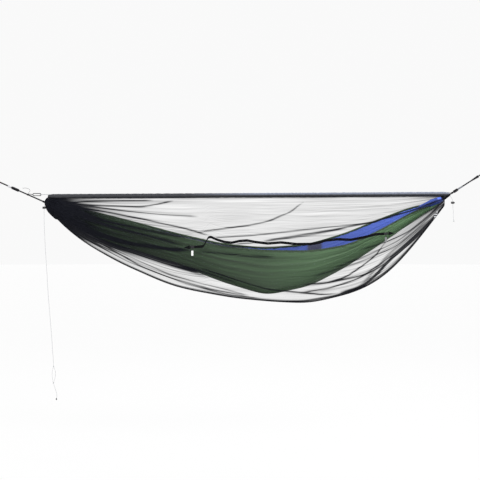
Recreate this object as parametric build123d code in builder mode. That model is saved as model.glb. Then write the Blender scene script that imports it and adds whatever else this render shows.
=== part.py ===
from build123d import *
from math import pi, radians, tan
import os

os.makedirs("parts", exist_ok=True)

# Camping hammock inside a full bug net, hung between two anchors.
# +X runs from the left anchor to the right one, +Y to the back, +Z up.
# The origin is the centre of the left anchor plate's outer bore. Millimetres.

# ---- overall sizes ----
anchor_span = 3520.0          # outer bore to outer bore
gather_left = Vector(505, 0, -204)
gather_right = Vector(3240, 0, -150)

# ---- anchor plates ----
plate_thickness = 6.0
plate_bore_radius = 11.0      # free bore for the user's own hook or bolt
plate_hole_radius = 9.0       # hole that carries the rope loop
plate_hole_spacing = 40.0
plate_rim = 11.0
plate_edge_round = 1.5

# ---- suspension ropes ----
rope_radius = 3.5
loop_half_width = 14.0
loop_length = 62.0
loop_leg_gap = 1.0            # between the two legs where they meet the splice
loop_seat_gap = 0.7
loop_shoulder = 20.0          # where the loop's legs start to close in
loop_bend_radius = 40.0
loop_end_slack = 0.5          # keeps the two end bends just short of touching
splice_overlap = 8.0          # the splice starts this far inside the loop
splice_end_lip = 0.5
wrap_fit = 0.05               # wraps and sleeves to the rope inside them
splice_radius = 8.5
splice_length = 60.0
ferrule_radius = 7.5
ferrule_length = 26.0
ferrule_gap = 4.0
ferrule_round = 2.0
knot_wrap_radius = 3.2
knot_wraps_left = 8
knot_wraps_right = 5
left_knot_from_gather = 218.0  # middle of each knot, measured along its rope
right_knot_from_gather = 44.0
ridge_hitch_from_gather = 18.0
ridge_hitch_wire = 1.6
ridge_hitch_wraps = 3
whip_wire = 1.6
whip_wraps = 4
whip_left_setback = 9.0
whip_right_setback = 13.0
binding_length = 38.0
binding_wall = 2.0
binding_gap = 3.0
running_gap = 0.3

# ---- ridgeline, sleeve and clip ----
ridge_cord_radius = 2.0
ridge_left = Vector(479, 0, -152.5)
ridge_right = Vector(3248, 0, -137)
sleeve_start_x = 550.0
sleeve_end_x = 3200.0
sleeve_radius = 15.0
sleeve_wall = 1.2
clip_wire_radius = 2.6
clip_ring_wire = 2.0
clip_from_gather = 127.0      # middle of the clip's ring, measured along the left rope
clip_length = 60.0
clip_height = 20.0
clip_gate_opening = 26.0
clip_gate_wire = 2.3
clip_gate_heel = 1.2          # room for the gate's heel to turn
clip_gate_inset = 4.0
ridge_eye_slack = 0.8

# ---- net ----
net_skin = 1.5
net_start_x = 530.0
net_end_x = 3200.0
net_half_width = 200.0
net_drop = 718.0              # sleeve's lower edge to the lowest point of the net
net_seam_half = 3.0           # half the width of the seam under the sleeve
net_gather_wall = 2.0
net_neck_left_radius = 12.0
net_neck_right_radius = 9.0
net_neck_reach = Vector(2, 0, 0)
net_neck_sag = Vector(0, 0, -1)
# share of the length, share of the drop, share of the half width
net_shape = [
    (0.000, 0.110, 0.10), (0.030, 0.240, 0.24), (0.090, 0.420, 0.47), (0.180, 0.612, 0.76),
    (0.300, 0.812, 0.97), (0.350, 0.865, 1.00), (0.470, 0.948, 1.00), (0.570, 0.985, 1.00),
    (0.660, 1.000, 1.00), (0.770, 0.905, 1.00), (0.830, 0.800, 1.00), (0.880, 0.645, 0.90),
    (0.940, 0.385, 0.60), (1.000, 0.095, 0.12),
]

# ---- hammock body ----
cloth = 1.4
hammock_start_x = 600.0
hammock_end_x = 3100.0
hammock_half_width = 165.0
hammock_top_z = -238.0        # level that the rims hang from
hammock_drop = 600.0
near_seam_angle = 235.0
far_seam_angle = 305.0
hem_height = 16.0
hem_thickness = 2.6
gather_neck = 9.0
neck_left_offset = Vector(7, 0, -3)
neck_right_reach = 78.0
neck_right_rise = 55.0        # above the middle of the panels' end
sling_left_gap = 2.0
sling_right_gap = 2.9         # clear of the bundle's slanted end
sling_right_end_gap = 1.5
# share of the length, then near rim, far rim and bottom as shares of the drop, half width share
hammock_shape = [
    (0.000, 0.000, 0.000, 0.080, 0.11), (0.050, 0.030, 0.025, 0.225, 0.16),
    (0.110, 0.088, 0.080, 0.385, 0.30), (0.210, 0.205, 0.187, 0.505, 0.53),
    (0.320, 0.340, 0.312, 0.650, 0.76), (0.440, 0.455, 0.425, 0.850, 0.96),
    (0.560, 0.498, 0.475, 1.000, 1.00), (0.680, 0.503, 0.428, 0.895, 0.97),
    (0.780, 0.432, 0.303, 0.678, 0.82), (0.870, 0.255, 0.145, 0.425, 0.60),
    (0.950, 0.070, 0.015, 0.185, 0.28), (1.000, -0.005, -0.030, 0.045, 0.14),
]

# ---- zip ----
zip_start = Vector(1493, 0, -507)
zip_end = Vector(2796, 0, -416)
zip_slit_half = 4.0
zip_bead_radius = 1.6
zip_band_half = 16.0
zip_tape_thickness = 1.2
zip_garage_length = 50.0
zip_garage_half = 13.0
zip_garage_tip_gap = 8.0
zip_garage_end_gap = 1.0
zip_band_gap = 0.1            # tape edge to the net
slider_length = 24.0
slider_height = 16.0
slider_plate = 1.8
slider_corner = 5.0
slider_wedge_length = 9.0
slider_wedge_gap = 0.8        # wedge to each bead
slider_wedge_corner = 2.0
slider_post_width = 2.2
slider_post_depth = 2.4
slider_gap = 0.5              # slider plate to the bead
slider_post_spacing = 14.0
slider_bar_radius = 1.0
slider_bar_height = 4.2
slider_inset = 16.0
pull_ring_major = 2.6
pull_ring_minor = 0.8
pull_cord_length = 22.0
pull_cord_width = 3.0
pull_cord_thickness = 1.5
pull_tab_length = 33.0
pull_tab_width = 13.0
pull_tab_thickness = 2.4
pull_tab_corner = 3.0
pull_tab_overlap = 2.0        # length of the cord held inside the tab

# ---- cord locks and hanging cords ----
drawcord_radius = 1.25
strand_radius = 1.0
tail_cord_radius = 1.0
lock_radius = 7.5
lock_length = 20.0
lock_wall = 1.5
lock_bore_radius = 5.0
plunger_clearance = 0.3
plunger_stroke = 3.0
plunger_cap = 4.0
plunger_tail = 4.6            # from the cord hole to the plunger's inner end
plunger_round = 1.5
lock_round = 1.0
lock_shift = 1.0              # the barrel lies this far left of the cord
lock_cut_over = 1.0
lock_hole_radius = 2.6
knot_bead_radius = 3.6
knot_bead_round = 0.6         # share of the radius
upper_knot_height = 7.0
lower_knot_height = 9.0
tip_height = 12.0
right_knot_height = 9.0

DOWN = Vector(0, 0, -1)
BACK = Vector(0, 1, 0)


def save(part, name):
    part.label = name
    export_step(part, f"parts/{name}.step")


def between(pairs, share):
    """Straight-line reading of a list of (position, value) pairs."""
    for (a, va), (b, vb) in zip(pairs, pairs[1:]):
        if share <= b:
            return va + (vb - va) * (share - a) / (b - a)
    return pairs[-1][1]


def rod(start, end, radius):
    """Round straight piece from one point to another."""
    with BuildPart() as piece:
        with BuildSketch(Plane(origin=start, z_dir=end - start)):
            Circle(radius)
        extrude(amount=(end - start).length)
    return piece.part


def wraps(middle, direction, count, inner_radius, wire_radius):
    """Turns of cord wound tight and side by side round a straight core."""
    pitch = 2 * wire_radius
    with BuildPart() as piece:
        for index in range(count):
            centre = middle + direction * (pitch * (index - (count - 1) / 2))
            with Locations(Plane(origin=centre, z_dir=direction)):
                Torus(inner_radius + wire_radius, wire_radius)
    return piece.part


# ---- anchors ----
def anchor_plate(bore_x, hole_x):
    """Flat plate with a free bore and a smaller hole with rounded edges for the rope."""
    with BuildPart() as piece:
        with BuildSketch(Plane.XZ.offset(-plate_thickness / 2)):
            with BuildLine():
                CenterArc((bore_x, 0), plate_bore_radius + plate_rim, 0, 360)
            make_face()
            with Locations((hole_x, 0)):
                Circle(plate_hole_radius + plate_rim)
            make_hull()
        extrude(amount=plate_thickness)
        fillet(piece.edges(), plate_edge_round)
        with BuildSketch(Plane.XZ.offset(-plate_thickness / 2)):
            with Locations((bore_x, 0)):
                Circle(plate_bore_radius)
            with Locations((hole_x, 0)):
                Circle(plate_hole_radius)
        extrude(amount=plate_thickness, mode=Mode.SUBTRACT)
        inner = [e for e in piece.edges().filter_by(GeomType.CIRCLE)
                 if abs(e.radius - plate_hole_radius) < 0.01]
        fillet(inner, plate_edge_round)
    return piece.part


hole_left_x = plate_hole_spacing
hole_right_x = anchor_span - plate_hole_spacing
bar_reach = plate_hole_radius - rope_radius - loop_seat_gap
bar_left = Vector(hole_left_x + bar_reach, 0, 0)
bar_right = Vector(hole_right_x - bar_reach, 0, 0)
rope_left = (gather_left - bar_left).normalized()
rope_right = (gather_right - bar_right).normalized()

save(anchor_plate(0, hole_left_x), "anchor_plate_left")
save(anchor_plate(anchor_span, hole_right_x), "anchor_plate_right")


# ---- suspension ropes ----
def anchor_loop(bar, direction):
    """Eye of rope through the plate's hole, closed by a tapered splice."""
    leg = rope_radius + loop_leg_gap / 2
    wide = loop_half_width
    frame = Plane(origin=bar, x_dir=direction, z_dir=direction.cross(BACK))
    with BuildPart() as piece:
        with BuildLine(frame) as route:
            FilletPolyline(
                (loop_length, -leg), (loop_shoulder, -wide), (0, -wide),
                (0, wide), (loop_shoulder, wide), (loop_length, leg),
                radius=[loop_bend_radius, wide - loop_end_slack, wide - loop_end_slack, loop_bend_radius],
            )
        with BuildSketch(Plane(origin=route.line @ 0, z_dir=route.line % 0)):
            Circle(rope_radius)
        sweep()
        throat = bar + direction * (loop_length - splice_overlap)
        with BuildSketch(Plane(origin=throat, z_dir=direction)):
            Circle(splice_radius)
        with BuildSketch(Plane(origin=throat + direction * splice_length, z_dir=direction)):
            Circle(rope_radius + splice_end_lip)
        loft()
    return piece.part


splice_end = loop_length - splice_overlap + splice_length
left_start = bar_left + rope_left * splice_end
right_start = bar_right + rope_right * splice_end
left_knot = gather_left - rope_left * left_knot_from_gather
right_knot = gather_right - rope_right * right_knot_from_gather
left_knot_half = knot_wrap_radius * knot_wraps_left
ferrule_end = left_knot - rope_left * (left_knot_half + ferrule_gap)

save(anchor_loop(bar_left, rope_left), "anchor_loop_left")
save(anchor_loop(bar_right, rope_right), "anchor_loop_right")
save(rod(left_start, left_knot, rope_radius), "suspension_rope_left")
save(rod(right_start, right_knot, rope_radius), "suspension_rope_right")
save(wraps(left_knot, rope_left, knot_wraps_left, rope_radius + wrap_fit, knot_wrap_radius), "knot_left")
save(wraps(right_knot, rope_right, knot_wraps_right, rope_radius + wrap_fit, knot_wrap_radius), "knot_right")


def ferrule(end, direction):
    """Metal sleeve closed round the rope."""
    start = end - direction * ferrule_length
    with BuildPart() as piece:
        with BuildSketch(Plane(origin=start, z_dir=direction)):
            Circle(ferrule_radius)
            Circle(rope_radius + wrap_fit, mode=Mode.SUBTRACT)
        extrude(amount=ferrule_length)
        fillet(piece.edges().filter_by(GeomType.CIRCLE).sort_by(SortBy.RADIUS)[-2:], ferrule_round)
    return piece.part


save(ferrule(ferrule_end, rope_left), "rope_ferrule_left")

binding_start = right_knot - rope_right * (knot_wrap_radius * knot_wraps_right + binding_gap)


def binding(start, direction):
    """Fabric binding wound over the rope beside the right knot."""
    with BuildPart() as piece:
        with BuildSketch(Plane(origin=start - direction * binding_length, z_dir=direction)):
            Circle(rope_radius + binding_wall)
            Circle(rope_radius + wrap_fit, mode=Mode.SUBTRACT)
        extrude(amount=binding_length)
    return piece.part


save(binding(binding_start, rope_right), "rope_binding_right")


# ---- hammock body ----
def hammock_station(share):
    position = hammock_start_x + (hammock_end_x - hammock_start_x) * share
    rows = [[(row[0], row[column]) for row in hammock_shape] for column in (1, 2, 3, 4)]
    near, far, low, wide = [between(pairs, share) for pairs in rows]
    rims = [hammock_top_z - hammock_drop * value for value in (near, far, low)]
    return position, rims[0], rims[1], rims[2], hammock_half_width * wide


def cloth_strip(position, rim, low, wide, first, last):
    """Face between two ellipse arcs, from one angle to another, in the plane across the hammock."""
    with BuildSketch(Plane.YZ.offset(position)) as face:
        with BuildLine():
            outer = EllipticalCenterArc((0, rim), wide, rim - low, first, arc_size=last - first)
            inner = EllipticalCenterArc(
                (0, rim), wide - cloth, rim - low - cloth, first, arc_size=last - first)
            Line(outer @ 0, inner @ 0)
            Line(outer @ 1, inner @ 1)
        make_face()
    return face.sketch


def hammock_panel(first, last, edge):
    with BuildPart() as piece:
        sections = []
        for row in hammock_shape:
            position, near, far, low, wide = hammock_station(row[0])
            rim = near if edge == "near" else far
            sections.append(cloth_strip(position, rim, low, wide, first, last))
        loft(sections=sections, ruled=True)
    return piece.part


def hem(edge):
    """Folded strip along one rim, standing on the panel's upper edge."""
    side = -1 if edge == "near" else 1
    with BuildPart() as piece:
        sections = []
        for row in hammock_shape:
            position, near, far, low, wide = hammock_station(row[0])
            rim = near if edge == "near" else far
            with BuildSketch(Plane.YZ.offset(position)) as face:
                with Locations((side * (wide - cloth / 2), rim + hem_height / 2)):
                    Rectangle(hem_thickness, hem_height)
            sections.append(face.sketch)
        loft(sections=sections, ruled=True)
    return piece.part


save(hammock_panel(180, near_seam_angle, "near"), "hammock_near_panel")
save(hammock_panel(near_seam_angle, 270, "near"), "hammock_near_floor")
save(hammock_panel(270, far_seam_angle, "far"), "hammock_far_floor")
save(hammock_panel(far_seam_angle, 360, "far"), "hammock_far_panel")
save(hem("near"), "hammock_near_hem")
save(hem("far"), "hammock_far_hem")


def end_bundle(neck, share, mouth_gap):
    """Gathered cloth, from the round neck to the width that the panels start at."""
    position, near, far, low, wide = hammock_station(share)
    middle = (near + far) / 4 + low / 2
    side = 1 if neck.X < position else -1
    mouth = position - side * mouth_gap
    with BuildPart() as piece:
        with BuildSketch(Plane.YZ.offset(neck.X)):
            with Locations((0, neck.Z)):
                Circle(gather_neck)
        with BuildSketch(Plane.YZ.offset(mouth)):
            with Locations((0, middle)):
                Ellipse(wide, (near + far) / 4 - low / 2)
        loft()
    return piece.part


bundle_left_neck = gather_left + neck_left_offset
last_station = hammock_station(1)
bundle_right_neck = Vector(
    hammock_end_x + neck_right_reach, 0, (last_station[1] + last_station[3]) / 2 + neck_right_rise)
save(end_bundle(bundle_left_neck, 0, running_gap), "hammock_gather_left")
save(end_bundle(bundle_right_neck, 1, running_gap), "hammock_gather_right")
whip_line = (gather_right - bundle_right_neck).normalized()
save(rod(left_knot, bundle_left_neck - rope_left * sling_left_gap, rope_radius), "sling_left")
sling_right_start = bundle_right_neck + whip_line * sling_right_gap
save(rod(sling_right_start, gather_right - whip_line * sling_right_end_gap, rope_radius), "sling_right")
save(rod(right_knot, gather_right, rope_radius), "sling_tail_right")

whip_left_at = gather_left - rope_left * whip_left_setback
whip_right_at = bundle_right_neck + whip_line * whip_right_setback
save(wraps(whip_left_at, rope_left, whip_wraps, rope_radius + wrap_fit, whip_wire), "end_whipping_left")
save(wraps(whip_right_at, whip_line, whip_wraps, rope_radius + wrap_fit, whip_wire), "end_whipping_right")


# ---- ridgeline and sleeve ----
ridge_line = (ridge_right - ridge_left).normalized()


def ridge_z(position):
    return ridge_left.Z + (ridge_right.Z - ridge_left.Z) * (position - ridge_left.X) / (
        ridge_right.X - ridge_left.X)


def sleeve_z(position):
    """The sleeve hangs on the ridgeline, so its middle is lower than the cord."""
    return ridge_z(position) - (sleeve_radius - sleeve_wall - ridge_cord_radius - running_gap)


def net_top(position):
    return sleeve_z(position) - sleeve_radius


def ridge_sleeve():
    start = Vector(sleeve_start_x, 0, sleeve_z(sleeve_start_x))
    end = Vector(sleeve_end_x, 0, sleeve_z(sleeve_end_x))
    with BuildPart() as piece:
        with BuildSketch(Plane(origin=start, z_dir=end - start)):
            Circle(sleeve_radius)
            Circle(sleeve_radius - sleeve_wall, mode=Mode.SUBTRACT)
        extrude(amount=(end - start).length)
    return piece.part


ridge_eye_reach = clip_wire_radius + running_gap + ridge_cord_radius + ridge_eye_slack


def ridgeline():
    """Cord with a small eye at its left end, through which the clip's loop passes."""
    eye = ridge_left + ridge_line * (ridge_eye_reach - ridge_cord_radius - clip_wire_radius - running_gap)
    start = eye + ridge_line * ridge_eye_reach
    with BuildPart() as piece:
        with Locations(Plane(origin=eye, z_dir=(0, 0, 1))):
            Torus(ridge_eye_reach, ridge_cord_radius)
        with BuildSketch(Plane(origin=start, z_dir=ridge_line)):
            Circle(ridge_cord_radius)
        extrude(amount=(ridge_right - start).length)
    return piece.part


save(ridgeline(), "ridgeline")
hitch_at = gather_right - rope_right * ridge_hitch_from_gather
save(wraps(hitch_at, rope_right, ridge_hitch_wraps, rope_radius + wrap_fit, ridge_hitch_wire), "ridge_hitch")
save(ridge_sleeve(), "ridge_sleeve")


# ---- net ----
zip_along = (zip_end - zip_start).normalized()
zip_length = (zip_end - zip_start).length


def net_station(position):
    share = (position - net_start_x) / (net_end_x - net_start_x)
    drop = between([(row[0], row[1]) for row in net_shape], share)
    wide = between([(row[0], row[2]) for row in net_shape], share)
    return net_top(position), net_top(position) - net_drop * drop, net_half_width * wide


def widest_z(position):
    """Level of the net's widest line: the zip's own line, and its share of the height beyond it."""
    start, end = zip_start.X - zip_garage_length, zip_end.X + zip_garage_length
    held = min(max(position, start), end)
    on_zip = zip_start.Z + (held - zip_start.X) * zip_along.Z / zip_along.X
    top, low, wide = net_station(held)
    share = (top - on_zip) / (top - low)
    top, low, wide = net_station(position)
    return top - share * (top - low) if held != position else on_zip


def net_positions():
    """Stations of the shape, with the zip's ends and its garages put in."""
    rows = [net_start_x + (net_end_x - net_start_x) * row[0] for row in net_shape]
    for end, side in ((zip_start.X, -1), (zip_end.X, 1)):
        rows += [end, end + side * zip_garage_length]
    return sorted(rows)


def slit(position):
    """Half height of the band left for the zip, closing to nothing across each garage."""
    inside = min(position - zip_start.X, zip_end.X - position) + zip_garage_length
    return zip_band_half / zip_along.X * min(max(inside / zip_garage_length, 0), 1)


def net_upper(side, with_zip):
    """Nearly flat panel from the seam under the sleeve out to the widest line."""
    with BuildPart() as piece:
        sections = []
        for position in net_positions():
            top, low, wide = net_station(position)
            edge = widest_z(position) + (slit(position) if with_zip else 0)
            with BuildSketch(Plane.YZ.offset(position)) as face:
                with BuildLine():
                    Polyline(
                        (side * net_seam_half, top), (side * wide, edge),
                        (side * (wide - net_skin), edge), (side * (net_seam_half - net_skin), top),
                        close=True,
                    )
                make_face()
            sections.append(face.sketch)
        loft(sections=sections, ruled=True)
    return piece.part


def net_lower(side, with_zip):
    """Quarter of an ellipse from the widest line down to the bottom seam."""
    first = 180 if side < 0 else 270
    with BuildPart() as piece:
        sections = []
        for position in net_positions():
            top, low, wide = net_station(position)
            rim = widest_z(position) - (slit(position) if with_zip else 0)
            with BuildSketch(Plane.YZ.offset(position)) as face:
                with BuildLine():
                    outer = EllipticalCenterArc((0, rim), wide, rim - low, first, arc_size=90)
                    inner = EllipticalCenterArc(
                        (0, rim), wide - net_skin, rim - low - net_skin, first, arc_size=90)
                    Line(outer @ 0, inner @ 0)
                    Line(outer @ 1, inner @ 1)
                make_face()
            sections.append(face.sketch)
        loft(sections=sections, ruled=True)
    return piece.part


def net_gather(neck, position, hole_radius, mouth_gap):
    """Hollow bundle of net, from a round neck to the end of the panels."""
    top, low, wide = net_station(position)
    middle, half = (top + low) / 2, (top - low) / 2
    side = 1 if neck.X < position else -1
    mouth = position - side * mouth_gap
    with BuildPart() as piece:
        for inset, mode in ((0, Mode.ADD), (net_gather_wall, Mode.SUBTRACT)):
            with BuildSketch(Plane.YZ.offset(neck.X)):
                with Locations((0, neck.Z)):
                    Circle(hole_radius + net_gather_wall - inset)
            with BuildSketch(Plane.YZ.offset(mouth)):
                with Locations((0, middle)):
                    Ellipse(wide - inset, half - inset)
            loft(mode=mode)
    return piece.part


save(net_upper(-1, True), "net_near_upper")
save(net_lower(-1, True), "net_near_lower")
save(net_upper(1, False), "net_far_upper")
save(net_lower(1, False), "net_far_lower")
net_neck_left = gather_left + net_neck_reach + net_neck_sag
net_neck_right = gather_right - net_neck_reach + net_neck_sag
save(net_gather(net_neck_left, net_start_x, net_neck_left_radius, running_gap), "net_gather_left")
save(net_gather(net_neck_right, net_end_x, net_neck_right_radius, running_gap), "net_gather_right")


# ---- zip ----
across_zip = Plane(
    origin=zip_start - BACK * net_half_width + BACK * net_skin / 2, x_dir=BACK, z_dir=zip_along)


def zip_tape(side):
    """Tape with its row of teeth as a round bead along the slit."""
    bead = zip_slit_half + zip_bead_radius
    with BuildPart() as piece:
        with BuildSketch(across_zip):
            with Locations((0, side * (bead + zip_band_half - zip_band_gap) / 2)):
                Rectangle(zip_tape_thickness, zip_band_half - zip_band_gap - bead)
            with Locations((0, side * bead)):
                Circle(zip_bead_radius)
        extrude(amount=zip_length)
    return piece.part


def zip_garages():
    """Three-cornered patches that close the net past each end of the slit."""
    with BuildPart() as piece:
        for end, side in ((zip_start, -1), (zip_end, 1)):
            base = Plane(origin=end - BACK * net_half_width, x_dir=zip_along, z_dir=-BACK)
            tip = side * (zip_garage_length - zip_garage_tip_gap)
            foot = side * zip_garage_end_gap
            with BuildSketch(base.offset(-net_skin)):
                with BuildLine():
                    Polyline((foot, -zip_garage_half), (tip, 0), (foot, zip_garage_half), close=True)
                make_face()
            extrude(amount=net_skin)
    return piece.part


save(zip_tape(1), "zip_tape_upper")
save(zip_tape(-1), "zip_tape_lower")
save(zip_garages(), "zip_garages")

slider_face = zip_bead_radius + slider_gap
bar_out = slider_face + slider_plate + slider_bar_height
slider_left_at = across_zip.origin + zip_along * slider_inset
slider_right_at = across_zip.origin + zip_along * (zip_length - slider_inset)


def slider(centre, sides):
    """Two plates joined by a wedge in the slit, with a raised bar for each pull."""
    base = Plane(origin=centre, x_dir=zip_along, z_dir=-BACK)
    with BuildPart() as piece:
        with BuildSketch(base.offset(slider_face), base.offset(-slider_face - slider_plate)):
            RectangleRounded(slider_length, slider_height, slider_corner)
        extrude(amount=slider_plate)
        with BuildSketch(base.offset(-slider_face)):
            RectangleRounded(slider_wedge_length, 2 * (zip_slit_half - slider_wedge_gap), slider_wedge_corner)
        extrude(amount=2 * slider_face)
        for side in sides:
            outward = -BACK * side
            foot = centre + outward * (slider_face + slider_plate)
            with BuildSketch(Plane(origin=foot, x_dir=zip_along, z_dir=outward)):
                with Locations((-slider_post_spacing / 2, 0), (slider_post_spacing / 2, 0)):
                    Rectangle(slider_post_width, slider_post_depth)
            extrude(amount=slider_bar_height + slider_bar_radius)
            bar = centre + outward * bar_out - zip_along * (slider_post_spacing / 2)
            with BuildSketch(Plane(origin=bar, z_dir=zip_along)):
                Circle(slider_bar_radius)
            extrude(amount=slider_post_spacing)
    return piece.part


def pull(centre, side):
    """Wire ring on the bar, a short tape and a moulded tab that hangs down."""
    bar = centre - BACK * side * bar_out
    ring = bar + DOWN * (pull_ring_major - pull_ring_minor - slider_bar_radius - running_gap)
    below = ring + DOWN * pull_ring_major
    tab_top = below + DOWN * pull_cord_length
    with BuildPart() as piece:
        with Locations(Plane(origin=ring, z_dir=zip_along)):
            Torus(pull_ring_major, pull_ring_minor)
        with BuildSketch(Plane(origin=below, x_dir=(1, 0, 0), z_dir=DOWN)):
            Rectangle(pull_cord_width, pull_cord_thickness)
        extrude(amount=pull_cord_length)
        middle = tab_top + DOWN * (pull_tab_length / 2 - pull_tab_overlap)
        with BuildSketch(Plane(origin=middle + BACK * pull_tab_thickness / 2, x_dir=(1, 0, 0), z_dir=-BACK)):
            RectangleRounded(pull_tab_width, pull_tab_length, pull_tab_corner)
        extrude(amount=pull_tab_thickness)
    return piece.part


save(slider(slider_left_at, (1, -1)), "zip_slider_left")
save(pull(slider_left_at, 1), "zip_pull_left_outer")
save(pull(slider_left_at, -1), "zip_pull_left_inner")
save(slider(slider_right_at, (1,)), "zip_slider_right")
save(pull(slider_right_at, 1), "zip_pull_right")


# ---- ridgeline clip ----
ring_reach = rope_radius + running_gap + clip_ring_wire
clip_ring_at = gather_left - rope_left * clip_from_gather
clip_half = clip_height / 2 - clip_wire_radius
clip_right = Vector(ridge_left.X - clip_half, 0, ridge_left.Z)
clip_left = clip_right - Vector(clip_length - clip_height, 0, 0)
gate_tip = clip_right - Vector(clip_gate_inset, 0, clip_half)
gate_foot = gate_tip - Vector(clip_gate_opening, 0, 0)


def clip_body():
    """Ring round the rope, a short stem and a long wire loop with an opening in its lower side."""
    over_rope = rope_left.cross(BACK)
    with BuildPart() as piece:
        with BuildLine(Plane.XZ) as route:
            Line((gate_foot.X, gate_foot.Z), (clip_left.X, gate_foot.Z))
            turn = CenterArc((clip_left.X, clip_left.Z), clip_half, 270, -180)
            upper = Line(turn @ 1, (clip_right.X, clip_right.Z + clip_half))
            back = CenterArc((clip_right.X, clip_right.Z), clip_half, 90, -180)
            Line(back @ 1, (gate_tip.X, gate_tip.Z))
        with BuildSketch(Plane(origin=route.line @ 0, z_dir=route.line % 0)):
            Circle(clip_wire_radius)
        sweep()
        with Locations(Plane(origin=clip_ring_at, z_dir=rope_left)):
            Torus(ring_reach, clip_ring_wire)
        start = clip_ring_at + over_rope * ring_reach
        stem = clip_left - Vector(clip_half, 0, 0) - start
        with BuildSketch(Plane(origin=start, z_dir=stem)):
            Circle(clip_ring_wire)
        extrude(amount=stem.length)
    return piece.part


def clip_gate():
    """Straight sprung gate that closes the opening and turns inwards about its heel."""
    start = gate_foot + Vector(clip_gate_heel, 0, 0)
    return rod(start, gate_tip - Vector(running_gap, 0, 0), clip_gate_wire)


save(clip_body(), "ridge_clip")
save(clip_gate(), "ridge_clip_gate")


# ---- hanging cords ----
def cord_tube(points, radius, name):
    """Round cord along straight runs joined by tangent arcs, each as large as its runs allow."""
    line = [Vector(*point) for point in points]
    radii = []
    for a, b, c in zip(line, line[1:], line[2:]):
        turn = (b - a).get_angle(c - b)
        shorter = min((b - a).length, (c - b).length)
        radii.append(0.45 * shorter / tan(radians(turn) / 2))
    with BuildPart() as piece:
        with BuildLine() as route:
            FilletPolyline(*line, radius=radii)
        with BuildSketch(Plane(origin=route.line @ 0, z_dir=route.line % 0)):
            Circle(radius)
        sweep()
    length = sum(edge.length for edge in route.edges())
    print(f"{name}: length {length:.0f}, least radius {min(radii):.0f},"
          f" volume ratio {piece.part.volume / (length * pi * radius ** 2):.4f}")
    return piece.part


drawcord_left_points = [
    (505.6, 0, -217.5), (503.6, 0, -226), (500.8, -0.3, -240), (499.8, -0.6, -262), (499.9, -0.9, -300),
    (500.6, -1.1, -342), (502, -1.2, -388), (504, -1, -430), (506, 0.5, -476), (508, 2, -524),
    (512, 2, -576), (515, 0, -632), (520, -1, -690), (523, -2, -748), (526, -1, -806),
    (530, 1, -864), (535, 3, -922), (539, 3, -980), (545, 1, -1036), (549, -1, -1092), (554, -2, -1148),
    (557, -1, -1204), (561, 1, -1258), (564, 1, -1310),
]
strand_a_points = [(562, 0, -1317), (556, 1, -1340), (553, 1, -1366), (556, 1, -1392), (561, 0, -1418)]
strand_b_points = [(566, 0, -1317), (575, -1, -1340), (578, -2, -1366), (574, -1, -1392), (565, 0, -1418)]
drawcord_tail_points = [
    (563, 0, -1427.4), (569, 1, -1446), (577, 0, -1468), (583, -1, -1490), (588, 0, -1509), (583, 0, -1527),
]
drawcord_right_points = [
    (3239.6, 0, -161), (3243.5, -0.1, -168), (3250, -0.3, -176), (3256, -0.4, -188),
    (3257.6, -0.5, -204), (3258.6, -0.6, -229), (3260.5, 0, -256), (3262, 1, -282), (3262, 0, -306),
    (3265, -0.5, -327),
]
tail_cord_points = [
    (392.6, 0, -144.2), (396, 1, -137.5), (402, 2, -131), (404, 3, -123), (399, 4, -115),
    (387, 4, -109.5), (371, 3, -107.5), (355, 2, -109.5),
]

save(cord_tube(drawcord_left_points, drawcord_radius, "drawcord_left"), "drawcord_left")
save(cord_tube(strand_a_points, strand_radius, "drawcord_strand_a"), "drawcord_strand_a")
save(cord_tube(strand_b_points, strand_radius, "drawcord_strand_b"), "drawcord_strand_b")
save(cord_tube(drawcord_tail_points, drawcord_radius, "drawcord_tail"), "drawcord_tail")
save(cord_tube(drawcord_right_points, drawcord_radius, "drawcord_right"), "drawcord_right")
save(cord_tube(tail_cord_points, tail_cord_radius, "tail_cord"), "tail_cord")


def knot_bead(top, height):
    """Pulled-down knot under a cord's end: a short barrel with rounded ends."""
    with BuildPart() as piece:
        with Locations(top + DOWN * height / 2):
            Cylinder(knot_bead_radius, height)
        fillet(piece.edges().filter_by(GeomType.CIRCLE), knot_bead_radius * knot_bead_round)
    return piece.part


strands_meet = (Vector(*strand_a_points[-1]) + Vector(*strand_b_points[-1])) / 2
save(knot_bead(Vector(*drawcord_left_points[-1]), upper_knot_height), "drawcord_knot_upper")
save(knot_bead(strands_meet, lower_knot_height), "drawcord_knot_lower")
save(knot_bead(Vector(*drawcord_tail_points[-1]), tip_height), "drawcord_tip")
save(knot_bead(Vector(*drawcord_right_points[-1]), right_knot_height), "drawcord_knot_right")


# ---- cord locks ----
def lock_barrel(centre):
    """Barrel lying across the cord, open at its right end for the plunger."""
    start = centre - Vector(lock_length / 2 + lock_shift, 0, 0)
    with BuildPart() as piece:
        with BuildSketch(Plane(origin=start, z_dir=(1, 0, 0))):
            Circle(lock_radius)
        extrude(amount=lock_length)
        fillet(piece.edges().filter_by(GeomType.CIRCLE), lock_round)
        with BuildSketch(Plane(origin=start + Vector(lock_wall, 0, 0), z_dir=(1, 0, 0))):
            Circle(lock_bore_radius)
        extrude(amount=lock_length, mode=Mode.SUBTRACT)
        with BuildSketch(Plane(origin=centre - Vector(0, 0, lock_radius + lock_cut_over), z_dir=(0, 0, 1))):
            Circle(lock_hole_radius)
        extrude(amount=2 * (lock_radius + lock_cut_over), mode=Mode.SUBTRACT)
    return piece.part


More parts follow.
